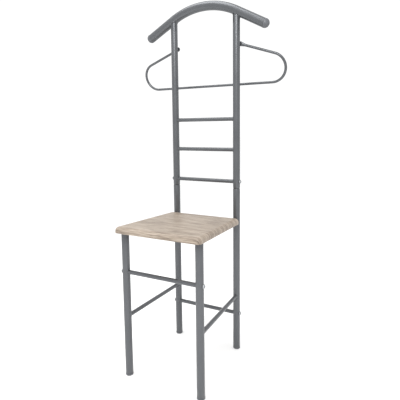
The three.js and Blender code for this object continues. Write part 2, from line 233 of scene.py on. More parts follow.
@dataclass(frozen=True)
class OakFoil:
    """Pale oak decor foil, printed and pressed over a shaped fibreboard.

    The print shows long grey-brown grain with short dark pores and slow light and dark bands,
    and a matt lacquer with the grain lightly embossed in it. It follows the board's own
    "foil" attribute, which runs over the rounded rims as the real foil does.
    """

    name: str = "pale_oak_foil"
    light: str = "aea193"
    middle: str = "938678"
    dark: str = "66594e"
    pore: str = "4a4037"
    band_mm: float = 22.0
    grain_mm: float = 3.4
    fibre_mm: float = 1.6
    pore_mm: float = 2.2
    roughness: float = 0.46

    def streaks(
        self, tree: bpy.types.NodeTree, place: bpy.types.NodeSocket, width: float, stretch: float,
        detail: float,
    ) -> bpy.types.NodeSocket:
        """Adds noise drawn out along the grain.

        Args:
            tree: the node tree to add to.
            place: the foil coordinates.
            width: a streak's width across the grain, in millimetres.
            stretch: how many times longer than wide a streak is.
            detail: octaves of noise.

        Returns:
            The grey value output.
        """
        mapping = add_node(
            tree,
            "Mapping",
            {"Scale": (per_metre(width * stretch), per_metre(width), 1.0)},
            {"Vector": place},
        )
        noise = add_node(
            tree,
            "TexNoise",
            {"Scale": 1.0, "Detail": detail, "Roughness": 0.55, "Distortion": 0.25},
            {"Vector": mapping.outputs["Vector"]},
        )
        return noise.outputs["Fac"]

    def build(self) -> bpy.types.Material:
        """Makes the material."""
        material, tree, shader = new_material(self.name)
        foil = add_node(tree, "Attribute", {"attribute_name": "foil"}).outputs["Vector"]
        bands = self.streaks(tree, foil, self.band_mm, 7.0, 2.0)
        grain = self.streaks(tree, foil, self.grain_mm, 16.0, 4.0)
        fibre = self.streaks(tree, foil, self.fibre_mm, 40.0, 3.0)
        pores = self.streaks(tree, foil, self.pore_mm, 14.0, 1.0)
        broad = add_node(tree, "Mix", {"data_type": "FLOAT", 0: 0.62}, {2: bands, 3: grain})
        tone = add_node(
            tree, "Mix", {"data_type": "FLOAT", 0: 0.35}, {2: broad.outputs[0], 3: fibre}
        )
        print_colour = colour_ramp(
            tree, tone.outputs[0], [(0.40, self.dark), (0.5, self.middle), (0.60, self.light)]
        )
        pore_mask = add_node(
            tree,
            "MapRange",
            {"From Min": 0.60, "From Max": 0.74, "To Min": 0.0, "To Max": 0.55},
            {"Value": pores},
        )
        colour = add_node(
            tree,
            "Mix",
            {"data_type": "RGBA", 7: srgb(self.pore)},
            {0: pore_mask.outputs["Result"], 6: print_colour},
        )
        rough = add_node(
            tree,
            "MapRange",
            {"To Min": self.roughness - 0.05, "To Max": self.roughness + 0.10},
            {"Value": grain},
        )
        bump = add_node(
            tree, "Bump", {"Strength": 0.25, "Distance": 0.15 * MM}, {"Height": fibre}
        )
        shader.inputs["IOR"].default_value = 1.48
        tree.links.new(colour.outputs[2], shader.inputs["Base Color"])
        tree.links.new(rough.outputs["Result"], shader.inputs["Roughness"])
        tree.links.new(bump.outputs["Normal"], shader.inputs["Normal"])
        return material


@dataclass(frozen=True)
class MottledSurface:
    """A finish whose broad mottle sways its colour and gloss, over a fine bump.

    Attributes:
        name: the material's name.
        shade: the lighter colour.
        shade_deep: the deeper colour.
        spread: how far from the middle grey of the mottle each colour stands.
        roughness: the typical roughness.
        smoother: how much smoother the mottle makes it at most.
        rougher: how much rougher it makes it at most.
        mottle_mm: size of the mottle.
        mottle_detail: octaves of the mottle.
        fine_mm: size of the bump's grain.
        fine_detail: octaves of the bump's grain.
        bump: strength of the bump.
        bump_depth: its depth.
        metallic: 1 for bare metal.
        ior: index of refraction.
    """

    name: str
    shade: str
    shade_deep: str
    spread: float
    roughness: float
    mottle_mm: float
    mottle_detail: float
    fine_mm: float
    fine_detail: float
    bump: float
    bump_depth: float
    smoother: float = 0.06
    rougher: float = 0.10
    metallic: float = 0.0
    ior: float = 1.5

    def build(self) -> bpy.types.Material:
        """Makes the material."""
        material, tree, shader = new_material(self.name)
        place = add_node(tree, "TexCoord").outputs["Object"]
        mottle = add_node(
            tree,
            "TexNoise",
            {"Scale": per_metre(self.mottle_mm), "Detail": self.mottle_detail},
            {"Vector": place},
        )
        fine = add_node(
            tree,
            "TexNoise",
            {"Scale": per_metre(self.fine_mm), "Detail": self.fine_detail},
            {"Vector": place},
        )
        stops = [(0.5 - self.spread, self.shade_deep), (0.5 + self.spread, self.shade)]
        colour = colour_ramp(tree, mottle.outputs["Fac"], stops)
        rough = add_node(
            tree,
            "MapRange",
            {"To Min": self.roughness - self.smoother, "To Max": self.roughness + self.rougher},
            {"Value": mottle.outputs["Fac"]},
        )
        bump = add_node(
            tree,
            "Bump",
            {"Strength": self.bump, "Distance": self.bump_depth},
            {"Height": fine.outputs["Fac"]},
        )
        shader.inputs["Metallic"].default_value = self.metallic
        shader.inputs["IOR"].default_value = self.ior
        tree.links.new(colour, shader.inputs["Base Color"])
        tree.links.new(rough.outputs["Result"], shader.inputs["Roughness"])
        tree.links.new(bump.outputs["Normal"], shader.inputs["Normal"])
        return material


# The mould's fine spark-eroded grain scatters the light, and handling leaves faint scuffs.
MOULDED_POLYETHYLENE = MottledSurface(
    name="moulded_grey_plastic", shade="5c5e62", shade_deep="54565a", spread=0.15,
    roughness=0.38, mottle_mm=14.0, mottle_detail=4.0, fine_mm=0.6, fine_detail=2.0,
    bump=0.15, bump_depth=0.06 * MM, ior=1.51,
)
# Bright zinc on cold-formed steel heads: metallic, a little cloudy, with a fine grain.
ZINC_PLATE = MottledSurface(
    name="zinc_plated_steel", shade="b4b6b9", shade_deep="96989b", spread=0.2,
    roughness=0.30, mottle_mm=2.5, mottle_detail=3.0, fine_mm=0.35, fine_detail=0.0,
    bump=0.2, bump_depth=0.03 * MM, metallic=1.0,
)


@dataclass(frozen=True)
class PaleFloor:
    """A matt, near-white studio floor with a trace of unevenness."""

    name: str = "pale_studio_floor"
    light: str = "fefefe"
    dim: str = "fbfbfb"
    patch_mm: float = 900.0

    def build(self) -> bpy.types.Material:
        """Makes the material."""
        material, tree, shader = new_material(self.name)
        place = add_node(tree, "TexCoord").outputs["Object"]
        patch = add_node(
            tree, "TexNoise", {"Scale": per_metre(self.patch_mm), "Detail": 2.0}, {"Vector": place}
        )
        colour = colour_ramp(tree, patch.outputs["Fac"], [(0.3, self.dim), (0.7, self.light)])
        shader.inputs["Roughness"].default_value = 0.9
        shader.inputs["Specular IOR Level"].default_value = 0.1
        tree.links.new(colour, shader.inputs["Base Color"])
        return material


@dataclass
class Wardrobe:
    """Every finish of the stand, made once and shared."""

    paint: bpy.types.Material = field(default_factory=lambda: PowderCoat().build())
    foil: bpy.types.Material = field(default_factory=lambda: OakFoil().build())
    plastic: bpy.types.Material = field(default_factory=MOULDED_POLYETHYLENE.build)
    zinc: bpy.types.Material = field(default_factory=ZINC_PLATE.build)


# ---------------------------------------------------------------- bench tools


@dataclass(frozen=True)
class Station:
    """One ring of a swept piece.

    Attributes:
        centre: the ring's middle.
        along: the way the sweep is going.
        depthwise: the direction in which depth is measured, square to along.
        depth: half size along depthwise.
        width: half size across both.
    """

    centre: Vector
    along: Vector
    depthwise: Vector
    depth: float
    width: float

    def matrix(self) -> Matrix:
        """Gives the transform that puts a unit circle here."""
        forward = self.along.normalized()
        first = (self.depthwise - forward * self.depthwise.dot(forward)).normalized()
        second = forward.cross(first)
        columns = Matrix((first * self.depth, second * self.width, forward)).transposed()
        return Matrix.Translation(self.centre) @ columns.to_4x4()


def deselect() -> None:
    """Leaves edit mode and selects nothing."""
    if bpy.context.object and bpy.context.object.mode != "OBJECT":
        bpy.ops.object.mode_set(mode="OBJECT")
    bpy.ops.object.select_all(action="DESELECT")


def pick(piece: bpy.types.Object) -> None:
    """Selects one piece alone and makes it active."""
    deselect()
    piece.select_set(True)
    bpy.context.view_layer.objects.active = piece


def move_selected(piece: bpy.types.Object, matrix: Matrix) -> None:
    """Transforms the vertices that are selected in edit mode."""
    mesh = bmesh.from_edit_mesh(piece.data)
    chosen = [vertex for vertex in mesh.verts if vertex.select]
    bmesh.ops.transform(mesh, matrix=matrix, verts=chosen)
    bmesh.update_edit_mesh(piece.data)


def sweep(name: str, stations: Sequence[Station], sides: int = 48) -> bpy.types.Object:
    """Extrudes a ring from station to station.

    Rings of pole size close the ends, and a sweep that ends where it began closes on itself.

    Args:
        name: the new piece's name.
        stations: the rings, in order.
        sides: how many vertices a ring has.

    Returns:
        The new piece, in object mode.
    """
    deselect()
    bpy.ops.mesh.primitive_circle_add(vertices=sides, radius=1.0, fill_type="NOTHING")
    piece = bpy.context.object
    piece.name = name
    piece.data.name = name
    bpy.ops.object.mode_set(mode="EDIT")
    bpy.ops.mesh.select_all(action="SELECT")
    matrices = [station.matrix() for station in stations]
    move_selected(piece, matrices[0])
    for before, after in zip(matrices, matrices[1:]):
        bpy.ops.mesh.extrude_edges_move()
        move_selected(piece, after @ before.inverted())
    bpy.ops.mesh.select_all(action="SELECT")
    bpy.ops.mesh.remove_doubles(threshold=WELD_LIMIT)
    bpy.ops.mesh.normals_make_consistent(inside=False)
    bpy.ops.object.mode_set(mode="OBJECT")
    return piece


def turned(
    name: str,
    profile: Sequence[tuple[float, float]],
    start: Vector,
    along: Vector,
    sides: int = 48,
) -> bpy.types.Object:
    """Turns a piece on an axis.

    Args:
        name: the new piece's name.
        profile: radius and distance along the axis of each ring, in order.
        start: the axis's zero point.
        along: the axis's direction.
        sides: how many vertices a ring has.

    Returns:
        The new piece.
    """
    forward = along.normalized()
    depthwise = forward.orthogonal().normalized()
    stations = [
        Station(start + forward * place, forward, depthwise, max(radius, POLE), max(radius, POLE))
        for radius, place in profile
    ]
    return sweep(name, stations, sides)


def long_wall(radius: float, start: float, end: float) -> list[tuple[float, float]]:
    """Gives a straight stretch of profile, with rings often enough for clean cuts.

    Args:
        radius: the stretch's radius.
        start: where it starts.
        end: where it ends.

    Returns:
        Radius and place of each ring.
    """
    steps = max(1, math.ceil(abs(end - start) / RING_SPACING))
    return [(radius, start + (end - start) * step / steps) for step in range(steps + 1)]


def tube_profile(
    radius: float, wall: float, low: float, high: float, lip: float
) -> list[tuple[float, float]]:
    """Gives the closed profile of a tube with rounded lips.

    Args:
        radius: outer radius.
        wall: wall thickness.
        low: where the tube starts.
        high: where it ends.
        lip: radius of the rounding at the outer lips.

    Returns:
        Radius and place of each ring, the last equal to the first.
    """
    near = lip * 0.3
    return [
        (radius - wall, low),
        (radius - lip, low),
        (radius - near, low + near),
        *long_wall(radius, low + lip, high - lip),
        (radius - near, high - near),
        (radius - lip, high),
        *long_wall(radius - wall, high, low),
    ]


def apply_modifier(piece: bpy.types.Object, kind: str, **settings: object) -> None:
    """Adds a modifier to a piece, sets it and applies it."""
    pick(piece)
    modifier = piece.modifiers.new(kind.lower(), kind)
    for name, value in settings.items():
        setattr(modifier, name, value)
    bpy.ops.object.modifier_apply(modifier=modifier.name)


def carve(piece: bpy.types.Object, cutter: bpy.types.Object) -> None:
    """Cuts one solid out of another and throws the cutter away."""
    apply_modifier(piece, "BOOLEAN", operation="DIFFERENCE", object=cutter, solver="EXACT")
    bpy.data.objects.remove(cutter)


def finish_piece(
    piece: bpy.types.Object,
    material: bpy.types.Material,
    nodes: Iterable[str] = (),
    sharp: float = 35.0,
) -> bpy.types.Object:
    """Shades, dresses and hands over a piece.

    Args:
        piece: the finished shape.
        material: what it is made of.
        nodes: the frame's nodes that the piece stands for.
        sharp: edges that turn more than this many degrees stay crisp.

    Returns:
        The piece.
    """
    pick(piece)
    bpy.ops.object.shade_smooth_by_angle(angle=math.radians(sharp))
    piece.data.materials.clear()
    piece.data.materials.append(material)
    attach(piece, BODY)
    if nodes:
        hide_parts(*nodes)
    LOG.info("%s: %d faces", piece.name, len(piece.data.polygons))
    return piece


def dress_node(node: str, material: bpy.types.Material) -> None:
    """Gives its material to a node of the frame whose shape is right as it is."""
    for material_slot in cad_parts[node].material_slots:
        material_slot.material = material


def corners(node: str) -> tuple[Vector, Vector]:
    """Gives a node's lowest and highest corners."""
    low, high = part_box(node)
    return Vector(low), Vector(high)


def middle(node: str) -> Vector:
    """Gives the middle of a node's box."""
    low, high = corners(node)
    return (low + high) / 2


# ---------------------------------------------------------------- tube frame


@dataclass(frozen=True)
class TubeSize:
    """A round tube: its outer radius, wall and the rounding of its cut lip."""

    radius: float
    wall: float
    lip: float

    def solid(self, name: str, start: Vector, end: Vector, slack: float = 0.0) -> bpy.types.Object:
        """Makes a plain rod as a cutter for what meets this tube."""
        along = end - start
        reach = along.length
        size = self.radius + slack
        profile = [(0.0, 0.0), (size, 0.0), (size, reach), (0.0, reach)]
        return turned(name, profile, start, along)


LEG = TubeSize(radius=11.0 * MM, wall=1.5 * MM, lip=0.6 * MM)
RAIL = TubeSize(radius=6.0 * MM, wall=1.5 * MM, lip=0.3 * MM)


def leg_axis(row: Row, side: Side) -> Vector:
    """Gives the point on the floor under a leg's axis."""
    place = middle(f"{row.value}_leg_{side.label}")
    place.z = 0.0
    return place


@dataclass
class WeldBead:
    """A fillet of weld round the end of one tube where it meets another.

    Attributes:
        height: how far the bead stands out from the joint.
        ripples: how many passes show round the joint.
        ripple_depth: how deep each pass is.
        standoff: how far the bead's middle stands off the tube's skin, as a share of height.
    """

    height: float = 1.1 * MM
    ripples: int = 16
    ripple_depth: float = 0.12 * MM
    standoff: float = 0.15

    def build(
        self, name: str, start: Vector, along: Vector, radius: float,
        lift: Callable[[Vector], float],
    ) -> bpy.types.Object:
        """Makes the bead.

        Args:
            name: the bead's name.
            start: a point on the welded tube's axis, near the joint.
            along: the axis's direction, away from the joint.
            radius: the welded tube's outer radius.
            lift: gives how far along the axis the joint lies at a place round the tube.

        Returns:
            The bead.
        """
        deselect()
        bpy.ops.mesh.primitive_torus_add(
            major_radius=radius + self.height * self.standoff,
            minor_radius=self.height,
            major_segments=72,
            minor_segments=8,
        )
        bead = bpy.context.object
        bead.name = name
        bead.data.name = name
        forward = along.normalized()
        across = forward.orthogonal().normalized()
        turn = Matrix((across, forward.cross(across), forward)).transposed()
        for vertex in bead.data.vertices:
            place = vertex.co
            angle = math.atan2(place.y, place.x)
            ring = Vector((math.cos(angle), math.sin(angle), 0.0)) * (radius + self.height * self.standoff)
            swell = 1.0 + self.ripple_depth / self.height * math.sin(angle * self.ripples)
            rim = start + turn @ (ring.normalized() * radius)
            vertex.co = start + turn @ (ring + (place - ring) * swell) + forward * lift(rim)
        return bead


def saddle_lift(axis: Vector, start: Vector, along: Vector, radius: float) -> Callable[[Vector], float]:
    """Gives the joint's shape where a tube meets the side of an upright tube.

    Args:
        axis: a point on the upright tube's axis.
        start: the bead's start, on the welded tube's axis.
        along: the welded tube's direction, level and away from the upright tube.
        radius: the upright tube's outer radius.

    Returns:
        A function from a point on the welded tube's skin to its distance along the axis.
    """
    forward = along.normalized()
    sideways = forward.cross(UP)
    level = Vector((axis.x, axis.y, start.z))
    offset = (start - level).dot(forward)

    def lift(rim: Vector) -> float:
        aside = (rim - level).dot(sideways)
        return math.sqrt(max(radius * radius - aside * aside, 0.0)) - offset

    return lift


@dataclass
class CopedRail:
    """A rail or rung between two legs, shaped to them at both ends.

    Attributes:
        node: the frame's node.
        near: a point on the first leg's axis.
        far: a point on the second leg's axis.
        welded: whether a weld holds it, or bolts.
        cut_slack: clearance between the rail's shaped end and the leg.
    """

    node: str
    near: Vector
    far: Vector
    welded: bool
    cut_slack: float = 0.05 * MM

    def build(self, wardrobe: Wardrobe) -> None:
        """Makes the rail and its beads."""
        height = middle(self.node).z
        start = Vector((self.near.x, self.near.y, height))
        end = Vector((self.far.x, self.far.y, height))
        along = end - start
        rail = turned(
            self.node + "_tube",
            tube_profile(RAIL.radius, RAIL.wall, 0.0, along.length, RAIL.lip),
            start,
            along,
        )
        reach = UP * RAIL.radius * 2
        for place in (start, end):
            carve(rail, LEG.solid("leg_cutter", place - reach, place + reach, self.cut_slack))
        finish_piece(rail, wardrobe.paint, [self.node])
        if self.welded:
            for label, place, away in (("near", start, along), ("far", end, -along)):
                surface = place + away.normalized() * LEG.radius
                bead = WeldBead().build(
                    f"{self.node}_weld_{label}",
                    surface,
                    away,
                    RAIL.radius,
                    saddle_lift(place, surface, away, LEG.radius),
                )
                finish_piece(bead, wardrobe.paint, sharp=80.0)


@dataclass
class LegPair:
    """A front or rear pair of legs, each closed below by a plug with a round sole.

    Attributes:
        row: which pair.
        sole_round: rounding of the sole's lower rim.
        sole_recess: how far the middle of the sole stands off the floor.
        sole_gap: between the sole's upper face and the leg's end.
        stem_slack: what the stem is smaller than the bore.
        stem_wall: the stem's wall, ribs included.
        ribs: how many ribs grip inside the tube.
        round_steps: steps in the rounding of the sole's rim.
    """

    row: Row
    sole_round: float = 2.2 * MM
    sole_recess: float = 0.6 * MM
    sole_gap: float = 0.25 * MM
    stem_slack: float = 0.3 * MM
    stem_wall: float = 1.6 * MM
    ribs: int = 3
    round_steps: int = 6

    def build_legs(self, wardrobe: Wardrobe) -> None:
        """Makes the two tubes with their rolled lips."""
        for side in Side:
            node = f"{self.row.value}_leg_{side.label}"
            low, high = corners(node)
            profile = tube_profile(LEG.radius, LEG.wall, low.z, high.z, LEG.lip)
            leg = turned(node + "_tube", profile, leg_axis(self.row, side), UP)
            finish_piece(leg, wardrobe.paint, [node])

    def build_feet(self, wardrobe: Wardrobe) -> None:
        """Makes the two plugs: a recessed round sole and a ribbed hollow stem."""
        for side in Side:
            node = f"foot_cap_{self.row.value}_{side.label}"
            low, high = corners(node)
            sole = (high.x - low.x) / 2
            sole_top = corners(f"{self.row.value}_leg_{side.label}")[0].z - self.sole_gap
            stem = LEG.radius - LEG.wall - self.stem_slack
            rim = self.sole_round
            profile = [
                (0.0, low.z + self.sole_recess),
                (sole - rim - 1.8 * MM, low.z + self.sole_recess),
                (sole - rim - 1.2 * MM, low.z),
            ]
            for step in range(self.round_steps + 1):
                angle = math.pi / 2 * step / self.round_steps
                profile.append((
                    sole - rim + rim * math.sin(angle), low.z + rim - rim * math.cos(angle)
                ))
            profile += [
                (sole, sole_top - 0.4 * MM),
                (sole - 0.15 * MM, sole_top - 0.1 * MM),
                (sole - 0.5 * MM, sole_top),
                (stem, sole_top),
            ]
            pitch = (high.z - sole_top) / (self.ribs + 1)
            for rib in range(self.ribs):
                place = sole_top + pitch * (rib + 0.6)
                profile += [
                    (stem - 0.5 * MM, place),
                    (stem, place + pitch * 0.35),
                    (stem, place + pitch * 0.5),
                    (stem - 0.5 * MM, place + pitch * 0.55),
                ]
            profile += [
                (stem - 1.0 * MM, high.z),
                (stem - self.stem_wall, high.z),
                (stem - self.stem_wall, sole_top),
                (0.0, sole_top),
            ]
            plug = turned(node + "_plug", profile, leg_axis(self.row, side), UP)
            finish_piece(plug, wardrobe.plastic, [node])

    def build(self, wardrobe: Wardrobe) -> None:
        """Makes the pair."""
        self.build_legs(wardrobe)
        self.build_feet(wardrobe)


@dataclass
class ShoulderArch:
    """The bent tube that carries a jacket, with its domed end caps.

    Attributes:
        radius: outer radius of the tube.
        wall: its wall.
        bend_radius: centre-line radius of the crown.
        arm_angle: how steeply the arms fall.
        half_width: from the middle to the tube's end, on the centre line.
        dome: how far an end cap stands out, nearly a half ball.
        cap_rim: height of a cap's softened rim, where its dome starts.
        plug_length: how far a cap's plug goes into the tube.
        plug_slack: what the plug is smaller than the bore.
        crown_steps: rings in the crown.
        dome_steps: rings in a cap's dome.
        sides: vertices round the arch and its caps.
    """

    radius: float = 14.0 * MM
    wall: float = 1.5 * MM
    bend_radius: float = 230.0 * MM
    arm_angle: float = math.radians(28.5)
    half_width: float = 197.5 * MM
    dome: float = 14.0 * MM
    cap_rim: float = 0.6 * MM
    plug_length: float = 13.0 * MM
    plug_slack: float = 0.1 * MM
    crown_steps: int = 40
    dome_steps: int = 14
    sides: int = 64

    def crown(self) -> Vector:
        """Gives the centre line's highest point."""
        low, high = corners("shoulder_arch")
        return Vector((0.0, (low.y + high.y) / 2, high.z - self.radius))

    def centre(self, x: float) -> tuple[Vector, float]:
        """Gives the centre line's point and slope angle at a distance from the middle."""
        bend_x = self.bend_radius * math.sin(self.arm_angle)
        side = math.copysign(1.0, x)
        reach = abs(x)
        if reach < bend_x:
            angle = math.asin(reach / self.bend_radius)
            drop = self.bend_radius * (1 - math.cos(angle))
        else:
            angle = self.arm_angle
            drop = self.bend_radius * (1 - math.cos(angle)) + (reach - bend_x) * math.tan(angle)
        return self.crown() + Vector((x, 0.0, -drop)), side * angle

    def stations(self, radius: float) -> list[Station]:
        """Gives the rings from the left end to the right end."""
        places = [-self.half_width]
        for step in range(self.crown_steps + 1):
            angle = self.arm_angle * (2 * step / self.crown_steps - 1)
            places.append(self.bend_radius * math.sin(angle))
        places.append(self.half_width)
        rings = []
        for x in places:
            centre, slope = self.centre(x)
            along = Vector((math.cos(slope), 0.0, -math.sin(slope)))
            rings.append(Station(centre, along, BACKWARDS, radius, radius))
        return rings

    def build_tube(self, wardrobe: Wardrobe) -> None:
        """Makes the bent tube."""
        tube = sweep("shoulder_arch_tube", self.stations(self.radius), self.sides)
        apply_modifier(tube, "SOLIDIFY", thickness=self.wall, offset=-1.0)
        finish_piece(tube, wardrobe.paint, ["shoulder_arch"])

    def build_caps(self, wardrobe: Wardrobe) -> None:
        """Makes the two domed plugs."""
        plug = self.radius - self.wall - self.plug_slack
        length = self.plug_length
        for side in Side:
            end, slope = self.centre(side.value * self.half_width)
            outwards = Vector((math.cos(slope), 0.0, -math.sin(slope))) * side.value
            profile = [(0.0, -length), (plug - 1.0 * MM, -length), (plug, 1.0 * MM - length)]
            profile += [(plug, 0.05 * MM), (self.radius - 0.45 * MM, 0.05 * MM)]
            profile += [(self.radius - 0.15 * MM, 0.2 * MM), (self.radius, self.cap_rim)]
            for step in range(1, self.dome_steps):
                angle = math.pi / 2 * step / self.dome_steps
                profile.append((
                    self.radius * math.cos(angle),
                    self.cap_rim + (self.dome - self.cap_rim) * math.sin(angle),
                ))
            profile.append((0.0, self.dome))
            cap = turned(f"arch_cap_{side.label}_dome", profile, end, outwards, self.sides)
            finish_piece(cap, wardrobe.plastic, [f"arch_cap_{side.label}"], 50.0)

    def underside(self, x: float, y: float) -> float:
        """Gives the height of the tube's lower skin over a place."""
        centre, slope = self.centre(x)
        aside = y - centre.y
        return centre.z - math.sqrt(max(self.radius ** 2 - aside ** 2, 0.0)) / math.cos(slope)

    def build(self, wardrobe: Wardrobe) -> None:
        """Makes the arch."""
        self.build_tube(wardrobe)
        self.build_caps(wardrobe)


@dataclass
class LadderBack:
    """The two uprights above the splice, with their welded and bolted rungs.

    Attributes:
        arch: the arch on top, which the uprights are shaped to.
        neck_radius: outer radius of an upright's narrowed lower end.
        taper: height over which it narrows.
    """

    arch: ShoulderArch
    neck_radius: float = 9.2 * MM
    taper: float = 3.0 * MM

    def build_upright(self, side: Side, wardrobe: Wardrobe) -> None:
        """Makes one upright: neck, taper, shaft and a top shaped to the arch."""
        node = f"upright_{side.label}"
        low, high = corners(node)
        axis = leg_axis(Row.REAR, side)
        splice = corners(f"rear_leg_{side.label}")[1].z
        wall = LEG.wall
        neck = self.neck_radius
        shoulder = splice + self.taper
        profile = [
            (neck - wall, low.z),
            (neck, low.z),
            (neck, splice + 0.4 * MM),
            (neck + (LEG.radius - neck) * 0.2, splice + self.taper * 0.3),
            (neck + (LEG.radius - neck) * 0.75, splice + self.taper * 0.7),
            *long_wall(LEG.radius, shoulder + 0.6 * MM, high.z + LEG.radius),
            *long_wall(LEG.radius - wall, high.z + LEG.radius, shoulder),
            (neck - wall, splice),
            (neck - wall, low.z),
        ]
        shaft = turned(node + "_tube", profile, axis, UP)
        arch_rings = closed_ends(self.arch.stations(self.arch.radius))
        carve(shaft, sweep("arch_cutter", arch_rings, self.arch.sides))
        self.drop_loose_top(shaft, high.z)
        finish_piece(shaft, wardrobe.paint, [node])
        start = Vector((axis.x, axis.y, 0.0))
        bead = WeldBead(height=1.3 * MM, ripples=24).build(
            node + "_weld_arch",
            start,
            UP,
            LEG.radius,
            lambda rim: self.arch.underside(rim.x, rim.y),
        )
        finish_piece(bead, wardrobe.paint, sharp=80.0)

    def drop_loose_top(self, shaft: bpy.types.Object, top: float) -> None:
        """Deletes what the arch's cutter left above the arch."""
        pick(shaft)
        bpy.ops.object.mode_set(mode="EDIT")
        bpy.ops.mesh.select_all(action="DESELECT")
        mesh = bmesh.from_edit_mesh(shaft.data)
        for vertex in mesh.verts:
            vertex.select = vertex.co.z > top + 0.5 * MM
        mesh.select_flush(True)
        bmesh.update_edit_mesh(shaft.data)
        bpy.ops.mesh.delete(type="VERT")
        bpy.ops.object.mode_set(mode="OBJECT")

    def build(self, wardrobe: Wardrobe) -> None:
        """Makes the ladder."""
        for side in Side:
            self.build_upright(side, wardrobe)
        near, far = (leg_axis(Row.REAR, side) for side in Side)
        CopedRail("upper_rung", near, far, welded=True).build(wardrobe)
        CopedRail("middle_rung", near, far, welded=True).build(wardrobe)
        CopedRail("lower_rung", near, far, welded=False).build(wardrobe)


def closed_ends(stations: Sequence[Station]) -> list[Station]:
    """Adds a ring of pole size at each end, so that a sweep is a closed solid."""
    ends = [
        Station(ring.centre, ring.along, ring.depthwise, POLE, POLE)
        for ring in (stations[0], stations[-1])
    ]
    return [ends[0], *stations, ends[1]]


@dataclass
class BaseFrame:
    """The legs with their side, front and rear rails, and the flat bars under the seat."""

    def build_rails(self, wardrobe: Wardrobe) -> None:
        """Makes the four rails between the legs."""
        for side in Side:
            front = leg_axis(Row.FRONT, side)
            rear = leg_axis(Row.REAR, side)
            CopedRail(f"side_rail_{side.label}", front, rear, welded=True).build(wardrobe)
        for row in Row:
            near, far = (leg_axis(row, side) for side in Side)
            CopedRail(f"{row.value}_rail", near, far, welded=False).build(wardrobe)

    def dress_bearers(self, wardrobe: Wardrobe) -> None:
        """Paints the flat bars under the seat."""
        for side in Side:
            dress_node(f"seat_bearer_{side.label}", wardrobe.paint)

    def build(self, wardrobe: Wardrobe) -> None:
        """Makes the base."""
        for row in Row:
            LegPair(row).build(wardrobe)
        self.build_rails(wardrobe)
        self.dress_bearers(wardrobe)


# ---------------------------------------------------------------- wire loop


@dataclass(frozen=True)
class PressedRing:
    """One ring of the wire's pressed end.

    Attributes:
        place: distance from the screw, outwards along the arm.
        depth: half of the end's thickness here.
        width: half of its height here.
        share: how much of the way from the arm's line to the flat end's plane.
    """

    place: float
    depth: float
    width: float
    share: float


